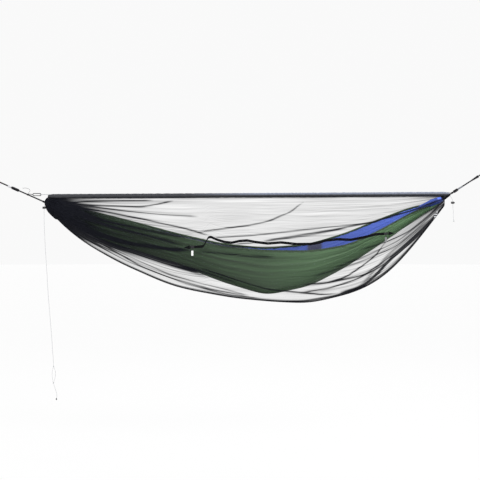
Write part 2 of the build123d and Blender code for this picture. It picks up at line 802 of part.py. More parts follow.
def lock_plunger(centre):
    """Round plunger with a long cross slot for the cord and a cap to press."""
    reach = lock_length / 2 - lock_shift
    start = centre - Vector(plunger_tail, 0, 0)
    with BuildPart() as piece:
        with BuildSketch(Plane(origin=start, z_dir=(1, 0, 0))):
            Circle(lock_bore_radius - plunger_clearance)
        extrude(amount=plunger_tail + reach + plunger_cap)
        fillet(piece.faces().sort_by(Axis.X)[-1].edges(), plunger_round)
        with BuildSketch(Plane(origin=centre - Vector(0, 0, lock_radius), z_dir=(0, 0, 1))):
            with Locations((plunger_stroke / 2, 0)):
                SlotOverall(2 * lock_hole_radius + plunger_stroke, 2 * lock_hole_radius)
        extrude(amount=2 * lock_radius, mode=Mode.SUBTRACT)
    return piece.part


lock_left_at = Vector(500.9, -0.5, -241)
lock_right_at = Vector(3257.9, -0.5, -207)
save(lock_barrel(lock_left_at), "cord_lock_left")
save(lock_plunger(lock_left_at), "cord_lock_plunger_left")
save(lock_barrel(lock_right_at), "cord_lock_right")
save(lock_plunger(lock_right_at), "cord_lock_plunger_right")
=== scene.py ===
import math

import bmesh
import bpy
import numpy as np
from bpy.props import FloatProperty, FloatVectorProperty, PointerProperty
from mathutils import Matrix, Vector


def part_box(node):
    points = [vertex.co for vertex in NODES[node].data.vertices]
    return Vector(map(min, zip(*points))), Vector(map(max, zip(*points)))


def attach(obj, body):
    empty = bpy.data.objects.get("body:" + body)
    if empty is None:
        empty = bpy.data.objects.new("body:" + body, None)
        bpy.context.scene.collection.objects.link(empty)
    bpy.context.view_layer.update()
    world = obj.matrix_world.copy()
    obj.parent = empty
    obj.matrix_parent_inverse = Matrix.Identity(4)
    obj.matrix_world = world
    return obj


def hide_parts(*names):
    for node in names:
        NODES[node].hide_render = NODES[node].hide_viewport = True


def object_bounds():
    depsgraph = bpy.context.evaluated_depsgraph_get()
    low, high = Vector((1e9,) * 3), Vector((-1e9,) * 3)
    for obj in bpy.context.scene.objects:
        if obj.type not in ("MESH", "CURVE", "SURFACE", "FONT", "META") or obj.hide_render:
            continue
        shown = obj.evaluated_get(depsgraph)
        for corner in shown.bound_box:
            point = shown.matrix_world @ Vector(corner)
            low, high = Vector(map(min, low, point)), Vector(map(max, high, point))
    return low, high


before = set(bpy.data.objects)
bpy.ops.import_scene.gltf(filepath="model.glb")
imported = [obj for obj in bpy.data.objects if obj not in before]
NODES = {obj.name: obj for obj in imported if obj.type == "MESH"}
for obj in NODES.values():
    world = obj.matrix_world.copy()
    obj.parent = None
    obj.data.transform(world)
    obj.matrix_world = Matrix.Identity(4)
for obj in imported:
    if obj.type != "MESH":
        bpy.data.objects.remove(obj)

bl_info = {
    "name": "Camping Hammock With Net",
    "version": (1, 0, 0),
    "blender": (4, 5, 0),
    "location": "View3D > Sidebar > Hammock",
    "description": "Builds the cloth, net, cords and fittings of a camping hammock around its frame",
    "category": "Object",
}

MM = 0.001
WELD_REACH = 1e-6
CAD_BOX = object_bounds()
HANGING = "hammock"


# ---- node maths ----
class Sock:
    """A socket or a number; arithmetic on it adds the Math nodes that work it out."""

    tree = None

    def __init__(self, value):
        self.value = value

    @classmethod
    def math(cls, operation, *values):
        return cls.node("ShaderNodeMath", {"operation": operation}, dict(enumerate(values)))

    @classmethod
    def node(cls, kind, settings=None, inputs=None, output=0):
        """Adds a node of that type, with its settings first and then its sockets' values or links."""
        node = cls.tree.nodes.new(kind)
        for name, value in (settings or {}).items():
            setattr(node, name, value)
        for key, value in (inputs or {}).items():
            if isinstance(value, Sock) and isinstance(value.value, bpy.types.NodeSocket):
                cls.tree.links.new(value.value, node.inputs[key])
            else:
                node.inputs[key].default_value = value.value if isinstance(value, Sock) else value
        return cls(node.outputs[output])

    def __add__(self, other):
        return Sock.math("ADD", self, other)

    def __sub__(self, other):
        return Sock.math("SUBTRACT", self, other)

    def __mul__(self, other):
        return Sock.math("MULTIPLY", self, other)

    def __truediv__(self, other):
        return Sock.math("DIVIDE", self, other)

    def __pow__(self, other):
        return Sock.math("POWER", self, other)

    def __rsub__(self, other):
        return Sock.math("SUBTRACT", other, self)

    __radd__ = __add__
    __rmul__ = __mul__


def blend_colours(factor, low, high):
    """Colour between two colours, by a factor from 0 to 1."""
    return Sock.node("ShaderNodeMix", {"data_type": "RGBA"}, {0: factor, 6: (*low, 1), 7: (*high, 1)}, 2)


def place_coordinates(scale=(1, 1, 1), turn=(0, 0, 0)):
    coordinates = Sock.node("ShaderNodeTexCoord", output=3)
    return Sock.node("ShaderNodeMapping", None, {0: coordinates, 2: turn, 3: scale})


def noise(scale, detail=3.0, stretch=(1, 1, 1)):
    return Sock.node("ShaderNodeTexNoise", None,
                     {"Vector": place_coordinates(stretch), "Scale": scale, "Detail": detail})


def stripes(scale, turn=(0, 0, 0)):
    return Sock.node("ShaderNodeTexWave", {"wave_profile": "SIN"},
                     {"Vector": place_coordinates(turn=turn), "Scale": scale}, 1)


def attribute(name):
    return Sock.node("ShaderNodeAttribute", {"attribute_name": name}, output=2)


def material(name, roughness=0.6, **constants):
    """New material with its Principled shader; constants go straight on the shader's sockets."""
    made = bpy.data.materials.new(name)
    made.use_nodes = True
    Sock.tree = made.node_tree
    shader = made.node_tree.nodes["Principled BSDF"]
    shader.inputs["Roughness"].default_value = roughness
    for key, value in constants.items():
        shader.inputs[key.replace("_", " ")].default_value = value
    return made, shader


def feed(shader, socket, signal):
    shader.id_data.links.new(signal.value, shader.inputs[socket])


def bump(shader, height, strength, distance):
    normal = Sock.node("ShaderNodeBump", None, {"Strength": strength, "Distance": distance, "Height": height})
    feed(shader, "Normal", normal)


# ---- materials ----
def uv_noise(along, across, detail=2.0):
    """Streaks that run along a sheet: noise on its own two directions, drawn out along the first."""
    place = Sock.node("ShaderNodeMapping", None, {0: Sock.node("ShaderNodeTexCoord", output=2),
                                                  3: (along, across, 1)})
    return Sock.node("ShaderNodeTexNoise", None, {"Vector": place, "Scale": 1.0, "Detail": detail})


def net_material(name, colour):
    """Fine black mesh: a thin film whose cover comes from the cloth's own gathering, in long streaks."""
    made, shader = material(name, 0.9, Specular_IOR_Level=0.06)
    streaks = uv_noise(5.0, 90.0, 3.0) * 1.3 + uv_noise(3.0, 320.0, 2.0) * 0.6
    gathered = attribute("cover")
    cover = gathered * ((streaks - 0.95) * (1.10 - gathered) * 4.2 + 1.0)
    feed(shader, "Base Color", blend_colours(streaks * 0.6, colour, tuple(c * 1.6 for c in colour)))
    feed(shader, "Alpha", cover)
    return made


def cloth_material(name, shaded_colour, lit):
    """Ripstop nylon: a fine square grid of thicker threads over a plain weave, painted between a shaded and a lit copy
    of its colour.
    """
    made, shader = material(name, 0.55, Sheen_Weight=0.05, Sheen_Roughness=0.45)
    grid = (stripes(60.0) ** 8) + (stripes(60.0, (0, math.radians(90), 0)) ** 8)
    creases = uv_noise(7.0, 26.0, 4.0)
    weave = noise(700.0, 1.0)
    # Painted light and shade: the lighting painted on each cloth piece, painted shade in the noise creases, and a faint
    # weave grid.
    painted_shading = attribute("painted_shading") * 0.95 + grid * 0.03 + (creases - 0.5) * 0.35
    plain = blend_colours(painted_shading, shaded_colour, lit)
    # Mixed towards near black where the cloth is marked dark.
    with_dark_areas = Sock.node("ShaderNodeMix", {"data_type": "RGBA"},
                     {0: attribute("darkened_area") * 0.85, 6: plain, 7: (0.030, 0.027, 0.030, 1)}, 2)
    feed(shader, "Base Color", with_dark_areas)
    feed(shader, "Roughness", weave * 0.2 + 0.45)
    bump(shader, creases * 1.0 + grid * 0.05 + weave * 0.03, 0.5, 0.006)
    return made


def sleeve_material():
    """Thin nylon drawn up on the cord: black, and a painted grey highlight where "lit" is high."""
    made, shader = material("sleeve_nylon", 0.55)
    puckers = noise(60.0, 4.0, (3.5, 1, 1))
    feed(shader, "Base Color", blend_colours(attribute("lit") * (puckers * 1.4 + 0.2), (0.008, 0.009, 0.013),
                                             (0.15, 0.175, 0.24)))
    bump(shader, puckers, 0.5, 0.003)
    return made


def cord_material(name, dark, light, pitch=420.0):
    """Braided cord: crossing slanted strands, with a painted highlight on their crowns and painted shade between them.
    """
    made, shader = material(name, 0.85, Specular_IOR_Level=0.2)
    braid = stripes(pitch, (0, 0, math.radians(35))) * stripes(pitch, (0, math.radians(50), math.radians(-35)))
    # Painted highlight and shade: paler where the braid pattern is high, darker between strands, plus random tone.
    feed(shader, "Base Color", blend_colours(braid * 0.7 + noise(90.0) * 0.4, dark, light))
    bump(shader, braid, 0.6, 0.0006)
    return made


def metal_material(name, colour, rough, metallic=1.0):
    made, shader = material(name, rough, Metallic=metallic)
    marks = noise(160.0, 5.0, (1, 1, 12))
    feed(shader, "Base Color", blend_colours(marks, tuple(c * 0.75 for c in colour), colour))
    feed(shader, "Roughness", marks * 0.25 + (rough - 0.1))
    bump(shader, marks, 0.15, 0.0003)
    return made


def plastic_material(name, colour, rough=0.45):
    made, shader = material(name, rough, Specular_IOR_Level=0.45)
    grain = noise(1500.0, 2.0)
    feed(shader, "Base Color", blend_colours(noise(60.0) * 0.5, colour, tuple(c * 0.8 for c in colour)))
    feed(shader, "Roughness", grain * 0.2 + (rough - 0.1))
    bump(shader, grain, 0.2, 0.0002)
    return made


def pull_material(name, node, tab):
    """Moulded tab in its own colour on a short black woven tape, parted at the tab's upper edge."""
    made, shader = material(name, 0.5, Specular_IOR_Level=0.3)
    level = Sock.node("ShaderNodeSeparateXYZ", None, {0: place_coordinates()}, 2)
    tape = Sock.math("GREATER_THAN", level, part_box(node)[0][2] + PULL_TAB_LENGTH)
    grain = noise(1200.0, 2.0)
    feed(shader, "Base Color", blend_colours(tape, tab, (0.010, 0.010, 0.012)))
    feed(shader, "Roughness", grain * 0.2 + 0.4)
    bump(shader, grain, 0.2, 0.0002)
    return made


def tape_material():
    made, shader = material("zip_tape_weave", 0.9, Specular_IOR_Level=0.08)
    rib = stripes(500.0, (0, math.radians(90), 0))
    feed(shader, "Base Color", blend_colours(rib * 0.6, (0.002, 0.002, 0.003), (0.007, 0.007, 0.009)))
    bump(shader, rib, 0.5, 0.0005)
    return made


def floor_material():
    """Plain pale paper that reads the same as the light round it."""
    made, shader = material("pale_paper", 0.9, Specular_IOR_Level=0.1)
    feed(shader, "Base Color", blend_colours(noise(2.0), (0.060, 0.060, 0.060), (0.065, 0.065, 0.065)))
    shader.inputs["Emission Color"].default_value = (1, 1, 1, 1)
    shader.inputs["Emission Strength"].default_value = 0.885
    return made


# ---- mesh makers ----
def add_object(name, data):
    made = bpy.data.objects.new(name, data)
    bpy.context.scene.collection.objects.link(made)
    return made


def put_mesh(name, points, faces, marks=None, uv=None):
    """Object from arrays of points and four-cornered faces, with point attributes and a UV map."""
    mesh = bpy.data.meshes.new(name)
    mesh.from_pydata(points.tolist(), [], faces)
    for key, values in (marks or {}).items():
        mesh.attributes.new(key, "FLOAT", "POINT").data.foreach_set("value", values.ravel().astype(np.float32))
    if uv is not None:
        corners = np.zeros(len(mesh.loops), dtype=np.int32)
        mesh.loops.foreach_get("vertex_index", corners)
        mesh.uv_layers.new(name="UVMap").data.foreach_set("uv", uv[corners].ravel().astype(np.float32))
    mesh.polygons.foreach_set("use_smooth", np.ones(len(mesh.polygons), dtype=bool))
    mesh.update()
    return add_object(name, mesh)


def sheet_mesh(name, points, marks=None, flip=False, across=(0, 1)):
    """Open sheet from a grid of points, rows along the first index, one quad between four neighbours."""
    rows, columns = points.shape[:2]
    index = np.arange(rows * columns).reshape(rows, columns)
    a, b, c, d = index[:-1, :-1], index[1:, :-1], index[1:, 1:], index[:-1, 1:]
    order = (d, c, b, a) if flip else (a, b, c, d)
    faces = np.stack([part.ravel() for part in order], axis=1)
    s, t = np.meshgrid(np.linspace(0, 1, rows), np.linspace(*across, columns), indexing="ij")
    return put_mesh(name, points.reshape(-1, 3), faces.tolist(), marks, np.stack([s.ravel(), t.ravel()], 1))


def close_tube(points):
    """Grid of rings with the first point of each ring repeated and each end ring drawn to its middle."""
    ends = [np.broadcast_to(points[k].mean(axis=0), points[k].shape) for k in (0, -1)]
    points = np.concatenate([ends[0][None], points, ends[1][None]])
    return np.concatenate([points, points[:, :1]], axis=1)


def weld(piece):
    """Join points that lie on each other, so that a rolled-up grid is one closed skin."""
    work = bmesh.new()
    work.from_mesh(piece.data)
    bmesh.ops.remove_doubles(work, verts=work.verts, dist=WELD_REACH)
    bmesh.ops.recalc_face_normals(work, faces=work.faces)
    work.to_mesh(piece.data)
    work.free()
    return piece


def squares(points):
    """Directions square to a grid of points, from its two differences crossed and made one long."""
    square = np.cross(np.gradient(points, axis=0), np.gradient(points, axis=1))
    return square / np.maximum(np.linalg.norm(square, axis=-1), 1e-9)[..., None]


def path_frames(path):
    """Two unit vectors across a path at each point, turned as little as possible from one to the next."""
    tangent = np.gradient(path, axis=0)
    tangent /= np.linalg.norm(tangent, axis=1)[:, None]
    start = np.array([0.0, 1.0, 0.0]) if abs(tangent[0][1]) < 0.9 else np.array([1.0, 0.0, 0.0])
    across = np.zeros_like(path)
    last = start
    for place, along in enumerate(tangent):
        last = last - along * last.dot(along)
        last = last / np.linalg.norm(last)
        across[place] = last
    return across, np.cross(tangent, across)


def tube_mesh(name, path, radius, sides=20, marks=None):
    """Closed tube: each ring is the path's point plus the radius at that place and angle, with flat ends."""
    across, up = path_frames(path)
    angle = np.linspace(0, 2 * math.pi, sides, endpoint=False)
    radius = np.broadcast_to(radius, (len(path), sides))
    ring = across[:, None] * np.cos(angle)[None, :, None] + up[:, None] * np.sin(angle)[None, :, None]
    points = path[:, None] + ring * radius[..., None]
    rows = len(path)
    index = np.arange(rows * sides).reshape(rows, sides)
    nxt = np.roll(index, -1, axis=1)
    faces = np.stack([index[:-1].ravel(), nxt[:-1].ravel(), nxt[1:].ravel(), index[1:].ravel()], 1)
    middle = np.array([path[0], path[-1]])
    points = np.concatenate([points.reshape(-1, 3), middle])
    head, tail = rows * sides, rows * sides + 1
    first = np.stack([nxt[0], index[0], np.full(sides, head)], 1)
    end = np.stack([index[-1], nxt[-1], np.full(sides, tail)], 1)
    marks = {key: np.append(np.broadcast_to(values, (rows, sides)).ravel(), [0, 0])
             for key, values in (marks or {}).items()}
    return put_mesh(name, points, faces.tolist() + first.tolist() + end.tolist(), marks)


ROPE_SIDES = 24


def rope_mesh(name, path, radius, strands=3, turn=0.016):
    """Laid rope: the radius swells over each strand, and the strands wind along the path."""
    along = np.concatenate([[0], np.cumsum(np.linalg.norm(np.diff(path, axis=0), axis=1))])
    angle = np.linspace(0, 2 * math.pi, ROPE_SIDES, endpoint=False)
    phase = strands * angle[None] - 2 * math.pi * along[:, None] / turn
    return tube_mesh(name, path, radius * (0.90 + 0.10 * np.abs(np.cos(phase / 2))), ROPE_SIDES)


def straight_path(start, end, step=0.0025):
    count = max(int(np.linalg.norm(np.subtract(end, start)) / step), 4)
    return np.linspace(start, end, count + 1)


def add_solidify(piece, thickness):
    wall = piece.modifiers.new("wall", "SOLIDIFY")
    wall.thickness = thickness
    wall.offset = 0.0
    return piece


def finish_piece(piece, made, nodes=()):
    piece.data.materials.clear()
    piece.data.materials.append(made)
    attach(piece, HANGING)
    if nodes:
        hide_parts(*nodes)
    return piece


# ---- the frame's own outlines ----
def node_points(node):
    mesh = NODES[node].data
    points = np.zeros(len(mesh.vertices) * 3)
    mesh.vertices.foreach_get("co", points)
    return points.reshape(-1, 3)


def outline(node, places, reach=0.09):
    """Lowest and highest level and greatest depth of a node at places along X, cut from its mesh's edges."""
    mesh = NODES[node].data
    points = node_points(node)
    ends = np.zeros(len(mesh.edges) * 2, dtype=np.int32)
    mesh.edges.foreach_get("vertices", ends)
    first, second = points[ends[0::2]], points[ends[1::2]]
    stations = np.linspace(points[:, 0].min() + 1e-4, points[:, 0].max() - 1e-4, 160)
    rows = []
    for station in stations:
        met = (first[:, 0] - station) * (second[:, 0] - station) < 0
        a, b = first[met], second[met]
        cut = a + (b - a) * ((station - a[:, 0]) / (b[:, 0] - a[:, 0]))[:, None]
        rows.append((cut[:, 2].min(), cut[:, 2].max(), np.abs(cut[:, 1]).max()))
    return [smooth(np.interp(places, stations, values), places, reach) for values in zip(*rows)]


def smooth(values, places, reach=0.05):
    """Rounds a line's corners by averaging over a short reach, with its two ends held."""
    step = places[1] - places[0]
    half = max(int(reach / step), 1)
    weights = np.hanning(2 * half + 3)[1:-1]
    padded = np.concatenate([2 * values[0] - values[half:0:-1], values, 2 * values[-1] - values[-2:-half - 2:-1]])
    return np.convolve(padded, weights / weights.sum(), "valid")


# ---- settings ----
class HammockStageSettings(bpy.types.PropertyGroup):
    lens: FloatProperty(name="Lens", description="Focal length of the camera", default=85.0, unit="CAMERA")
    view_width: FloatProperty(name="View Width", description="Width seen at the hammock",
                                        default=3.24, unit="LENGTH")
    floor_drop: FloatProperty(name="Floor Drop", description="Floor below the lowest cord",
                                        default=0.35, unit="LENGTH")
    key_power: FloatProperty(name="Key Power", description="Power of the main soft light", default=260.0)
    sky: FloatProperty(name="Surround", description="Brightness of the plain surround", default=0.95)


class HammockClothSettings(bpy.types.PropertyGroup):
    green: FloatVectorProperty(name="Body Cloth", description="Colour of the outer cloth",
                                         subtype="COLOR", default=(0.054, 0.110, 0.049))
    blue: FloatVectorProperty(name="Inner Cloth", description="Colour of the inner cloth",
                                        subtype="COLOR", default=(0.050, 0.095, 0.42))
    thickness: FloatProperty(name="Cloth Thickness", description="Thickness of the cloth",
                                       default=0.0008, unit="LENGTH", precision=5)
    net_cover: FloatProperty(name="Net Cover", description="Share of the light one flat layer stops",
                                       default=0.085, subtype="FACTOR")
    net_height: FloatProperty(name="Net Height", description="Flat height of one side of the net",
                                        default=1.0, unit="LENGTH")


def stage_settings():
    return bpy.context.scene.hammock_stage


def cloth_settings():
    return bpy.context.scene.hammock_cloth


# ---- stage ----
def aim(thing, place, target):
    thing.location = place
    thing.rotation_euler = (Vector(target) - Vector(place)).to_track_quat("-Z", "Y").to_euler()


def make_camera():
    """Level view square on to the length of the hammock."""
    settings = stage_settings()
    camera = bpy.data.cameras.new("photo_camera")
    camera.lens = settings.lens
    distance = settings.view_width * settings.lens / camera.sensor_width
    made = add_object("photo_camera", camera)
    aim(made, (VIEW_MIDDLE[0], -distance, VIEW_MIDDLE[2]), VIEW_MIDDLE)
    bpy.context.scene.camera = made


VIEW_MIDDLE = (1.822, 0.0, -0.459)
FLOOR_RINGS = [0.0, 4.0, 15.0, 60.0]
# each lamp: its name, place, size and share of the key power
LAMPS = (
    ("key", (4.6, -4.2, 3.2), 2.5, 1.0),
    ("fill", (-1.5, -4.5, 1.0), 3.0, 0.25),
    ("back", (2.4, 4.0, 3.5), 3.0, 0.4),
)


def area_light(name, place, target, size, power):
    lamp = bpy.data.lights.new(name, "AREA")
    lamp.shape = "DISK"
    lamp.size = size
    lamp.energy = power
    aim(add_object(name, lamp), place, target)


class HAMMOCK_OT_stage(bpy.types.Operator):
    """Pale floor, plain surround and soft lights"""
    bl_idname = "hammock.stage"
    bl_label = "Stage"

    def execute(self, context):
        settings = stage_settings()
        level = CAD_BOX[0][2] - settings.floor_drop
        ring = np.linspace(0, 2 * math.pi, 65)[:-1]
        reach = np.array(FLOOR_RINGS)
        points = np.stack(np.broadcast_arrays(
            VIEW_MIDDLE[0] + reach[:, None] * np.cos(ring), reach[:, None] * np.sin(ring), level), -1)
        closed = np.concatenate([points, points[:, :1]], axis=1)
        floor = sheet_mesh("floor", closed)
        floor.data.materials.append(floor_material())
        world = bpy.data.worlds.new("surround")
        world.use_nodes = True
        world.node_tree.nodes["Background"].inputs[0].default_value = (1, 1, 1, 1)
        world.node_tree.nodes["Background"].inputs[1].default_value = settings.sky
        context.scene.world = world
        context.scene.view_settings.view_transform = "Standard"
        key = settings.key_power
        for name, place, size, share in LAMPS:
            area_light(name, place, VIEW_MIDDLE, size, key * share)
        return {"FINISHED"}


# ---- free cords ----
def points_in_metres(points):
    return [tuple(value * MM for value in point) for point in points]


DRAWCORD_LEFT = points_in_metres([
    (505.6, 0, -217.5), (503.6, 0, -226), (500.8, -0.3, -240), (499.8, -0.6, -262), (499.9, -0.9, -300),
    (500.6, -1.1, -342), (502, -1.2, -388), (504, -1, -430), (506, 0.5, -476), (508, 2, -524),
    (512, 2, -576), (515, 0, -632), (520, -1, -690), (523, -2, -748), (526, -1, -806),
    (530, 1, -864), (535, 3, -922), (539, 3, -980), (545, 1, -1036), (549, -1, -1092), (554, -2, -1148),
    (557, -1, -1204), (561, 1, -1258), (564, 1, -1310),
])
STRAND_A = points_in_metres([(562, 0, -1317), (556, 1, -1340), (553, 1, -1366), (556, 1, -1392), (561, 0, -1418)])
STRAND_B = points_in_metres([(566, 0, -1317), (575, -1, -1340), (578, -2, -1366), (574, -1, -1392), (565, 0, -1418)])
DRAWCORD_TAIL = points_in_metres([
    (563, 0, -1427.4), (569, 1, -1446), (577, 0, -1468), (583, -1, -1490), (588, 0, -1509), (583, 0, -1527),
])
DRAWCORD_RIGHT = points_in_metres([
    (3239.6, 0, -161), (3243.5, -0.1, -168), (3250, -0.3, -176), (3256, -0.4, -188),
    (3257.6, -0.5, -204), (3258.6, -0.6, -229), (3260.5, 0, -256), (3262, 1, -282), (3262, 0, -306),
    (3265, -0.5, -327),
])
TAIL_CORD = points_in_metres([
    (392.6, 0, -144.2), (396, 1, -137.5), (402, 2, -131), (404, 3, -123), (399, 4, -115),
    (387, 4, -109.5), (371, 3, -107.5), (355, 2, -109.5),
])


def free_cord(name, points, radius, made, node):
    """One smooth curve whose control points are the cord's own route."""
    curve = bpy.data.curves.new(name, "CURVE")
    curve.dimensions = "3D"
    spline = curve.splines.new("NURBS")
    spline.points.add(len(points) - 1)
    for target, point in zip(spline.points, points):
        target.co = (*point, 1)
    spline.order_u = 3
    spline.use_endpoint_u = True
    spline.resolution_u = 6
    curve.bevel_depth = radius
    curve.bevel_resolution = 3
    curve.use_fill_caps = True
    curve.materials.append(made)
    piece = add_object(name, curve)
    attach(piece, HANGING)
    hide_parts(node)
    2 * radius
    return piece


class HAMMOCK_OT_cords(bpy.types.Operator):
    """Hanging drawcords, their divided end and the curly tail by the clip"""
    bl_idname = "hammock.cords"
    bl_label = "Free Cords"

    def execute(self, context):
        make_camera()
        pale = cord_material("pale_braid", (0.30, 0.31, 0.32), (0.62, 0.63, 0.64), 900.0)
        dark = cord_material("dark_braid", (0.02, 0.02, 0.022), (0.09, 0.09, 0.10), 900.0)
        for node, points, radius, length, last in (
                ("drawcord_left", DRAWCORD_LEFT, 0.00125, 1.100, "drawcord_knot_upper"),
                ("drawcord_strand_a", STRAND_A, 0.001, 0.102, "drawcord_knot_lower"),
                ("drawcord_strand_b", STRAND_B, 0.001, 0.104, "drawcord_knot_lower"),
                ("drawcord_tail", DRAWCORD_TAIL, 0.00125, 0.104, "drawcord_tip"),
                ("drawcord_right", DRAWCORD_RIGHT, 0.00125, 0.171, "drawcord_knot_right")):
            free_cord(node + "_line", points, radius, pale, node)
        free_cord("tail_cord_line", TAIL_CORD, 0.001, dark, "tail_cord")
        for node in ("drawcord_knot_upper", "drawcord_knot_lower", "drawcord_knot_right"):
            dress(node, pale)
        dress("drawcord_tip", dark)
        return {"FINISHED"}


def dress(node, made):
    """Gives a node of the frame a better material; its mesh stays as it is."""
    piece = NODES[node]
    piece.data.materials.clear()
    piece.data.materials.append(made)


# ---- ropes ----
def axis_ends(node):
    """Middles of a straight rope's two ends, from its own mesh."""
    points = node_points(node)
    middle = points.mean(0)
    direction = np.linalg.svd(points - middle, full_matrices=False)[2][0]
    direction = direction * np.sign(direction[0])
    reach = (points - middle) @ direction
    return middle + direction * reach.min(), middle + direction * reach.max()


ROPE_SWELL = 0.0047
ROPE_STEP = 0.0015


class HAMMOCK_OT_ropes(bpy.types.Operator):
    """Taut suspension ropes, their eyes, knots and bindings"""
    bl_idname = "hammock.ropes"
    bl_label = "Suspension"

    def execute(self, context):
        black = cord_material("rope_braid", (0.003, 0.003, 0.004), (0.022, 0.022, 0.026), 300.0)
        for node in ("suspension_rope_left", "suspension_rope_right", "sling_left", "sling_right", "sling_tail_right"):
            start, end = axis_ends(node)
            piece = rope_mesh(node + "_laid", straight_path(start, end, ROPE_STEP), ROPE_SWELL)
            finish_piece(piece, black, nodes=(node,))
        for node in ("anchor_loop_left", "anchor_loop_right", "knot_left", "knot_right",
                     "end_whipping_left", "end_whipping_right", "ridge_hitch"):
            dress(node, black)
        binding = cord_material("grey_binding", (0.08, 0.085, 0.095), (0.30, 0.31, 0.34), 260.0)
        dress("rope_binding_right", binding)
        pale = cord_material("ridge_braid", (0.25, 0.26, 0.27), (0.6, 0.61, 0.62), 700.0)
        dress("ridgeline", pale)
        return {"FINISHED"}


# ---- net ----
# each fold: points (x, z) along it in millimetres, how dark it is, half its width
FOLD_LINES = [(points_in_metres(line), dark, half * MM) for line, dark, half in [
    ([(608, -209), (877, -196), (1161, -193), (1242, -190)], 0.5, 4.5),
    ([(608, -209), (877, -228), (1161, -236), (1269, -219), (1377, -193)], 0.58, 4.5),
    ([(608, -216), (810, -230), (1053, -263), (1282, -286), (1546, -302)], 0.5, 4.5),
    ([(608, -223), (877, -263), (1161, -317), (1404, -371), (1539, -405), (1620, -432)], 0.55, 5),
    ([(608, -243), (945, -338), (1215, -398), (1485, -446)], 0.45, 6),
    ([(675, -270), (945, -364), (1215, -432), (1458, -499)], 0.55, 8),
    ([(1539, -405), (1755, -378), (1890, -362), (2025, -331), (2160, -270), (2255, -196)], 0.5, 4.5),
    ([(1620, -446), (1890, -429), (2092, -408), (2362, -378), (2700, -344), (2902, -277)], 0.42, 4.5),
    ([(1768, -486), (1890, -479), (2066, -459), (2295, -425), (2531, -378)], 0.38, 4.5),
    ([(1971, -466), (1998, -462), (2430, -392), (2700, -340), (2970, -263), (3172, -189)], 0.5, 5),
    ([(1721, -499), (1863, -504), (2005, -508), (2126, -504), (2228, -501)], 0.45, 4),
    ([(608, -283), (810, -405), (1080, -479), (1350, -520), (1526, -526)], 0.7, 12),
    ([(1526, -533), (1701, -547), (1890, -567), (2066, -574)], 0.4, 7),
    ([(608, -297), (810, -446), (1161, -553), (1417, -634), (1620, -702)], 0.75, 12),
    ([(742, -405), (1012, -499), (1282, -581), (1552, -661), (1823, -749)], 0.45, 6),
    ([(675, -364), (851, -459), (1161, -634), (1431, -742), (1755, -824), (1971, -851)], 0.5, 5),
    ([(634, -351), (837, -479), (1080, -608), (1350, -709), (1620, -783), (1890, -837)], 0.4, 4.5),
    ([(851, -459), (1080, -567), (1350, -689), (1620, -763), (1890, -830)], 0.34, 4),
    ([(716, -432), (783, -479), (864, -533)], 0.4, 4),
    ([(2788, -418), (2794, -459), (2754, -526), (2646, -621), (2525, -702), (2403, -740)], 0.72, 5),
    ([(2228, -756), (2403, -742), (2646, -689), (2835, -553), (2970, -472), (3146, -297)], 0.55, 6),
    ([(2484, -813), (2619, -790), (2727, -689), (2835, -567), (3038, -392), (3146, -297), (3240, -169)], 1.2, 11),
    ([(2214, -810), (2403, -783), (2592, -722), (2754, -634), (2943, -486), (3105, -338)], 0.6, 6),
    ([(1552, -639), (1735, -702), (1890, -756), (2025, -790), (2214, -807), (2403, -824), (2484, -813)], 0.62, 5),
    ([(1890, -864), (2066, -873), (2255, -867), (2457, -834), (2632, -776), (2794, -675), (2929, -553)], 0.55, 5),
    ([(2498, -864), (2700, -769), (2849, -648), (2983, -513), (3119, -338), (3233, -169)], 0.6, 4.5),
    ([(2606, -526), (2768, -479), (2936, -405), (3091, -283), (3213, -175)], 0.42, 5),
    ([(2430, -648), (2646, -567), (2876, -459), (3064, -317), (3213, -182)], 0.42, 6),
    ([(2295, -702), (2565, -621), (2849, -506), (3091, -317)], 0.35, 5),
]]
BAND_TOP = [(0.506, -0.155), (0.608, -0.182), (0.709, -0.209), (0.877, -0.257),
            (1.161, -0.310), (1.404, -0.364), (1.620, -0.425), (1.958, -0.506)]
BAND_LOW = [(0.506, -0.270), (0.608, -0.351), (0.742, -0.452), (0.945, -0.533),
            (1.215, -0.601), (1.552, -0.702), (1.823, -0.796), (1.958, -0.837)]
ZIP_LINE = [
    (1.493, -0.5070), (1.582, -0.5008), (1.612, -0.4420), (1.628, -0.4380), (1.640, -0.4430), (1.667, -0.4560),
    (1.721, -0.4720), (1.768, -0.4770), (1.816, -0.4660), (1.870, -0.4620), (1.920, -0.4720), (2.005, -0.4820),
    (2.092, -0.4750), (2.194, -0.4860), (2.288, -0.4850), (2.346, -0.4750), (2.383, -0.4630), (2.464, -0.4540),
    (2.551, -0.4580), (2.646, -0.4390), (2.715, -0.4217), (2.796, -0.4160),
]


def line_height(line, places):
    return np.interp(places, [point[0] for point in line], [point[1] for point in line])


def net_section(places):
    """Top, widest line, bottom and half width of the net at places along X."""
    edge, top, wide = outline("net_far_upper", places)
    low = outline("net_far_lower", places, NET_ROUNDING)[0]
    return top, edge, low, wide


def net_reach(section, z):
    """Distance of the net from the middle plane: straight down to the widest line, a quarter ellipse below it."""
    top, rim, low, wide = (values[:, None] for values in section)
    above = SEAM_HALF + (wide - SEAM_HALF) * np.clip((top - z) / (top - rim), 0, 1)
    below = wide * np.sqrt(np.clip(1 - ((rim - z) / (rim - low)) ** 2, 0, 1))
    return np.where(z >= rim, above, below)


SEAM_HALF = 0.003
FOLD_ROUNDING = 0.07
ZIP_ROUNDING = 0.012
PLEAT_DEPTH = 0.035
FINE_FOLDS_NEAR = 90
FINE_FOLDS_FAR = 50
FADE_REACH = 0.02
FADE_PER_WIDTH = 8.0
NET_ROUNDING = 0.17
ZIP_GAP = 0.012


def zip_height(places):
    """Level of the limp zip, which meets the sliders' straight line at its two ends."""
    return smooth(line_height(ZIP_LINE, places), places, ZIP_ROUNDING)


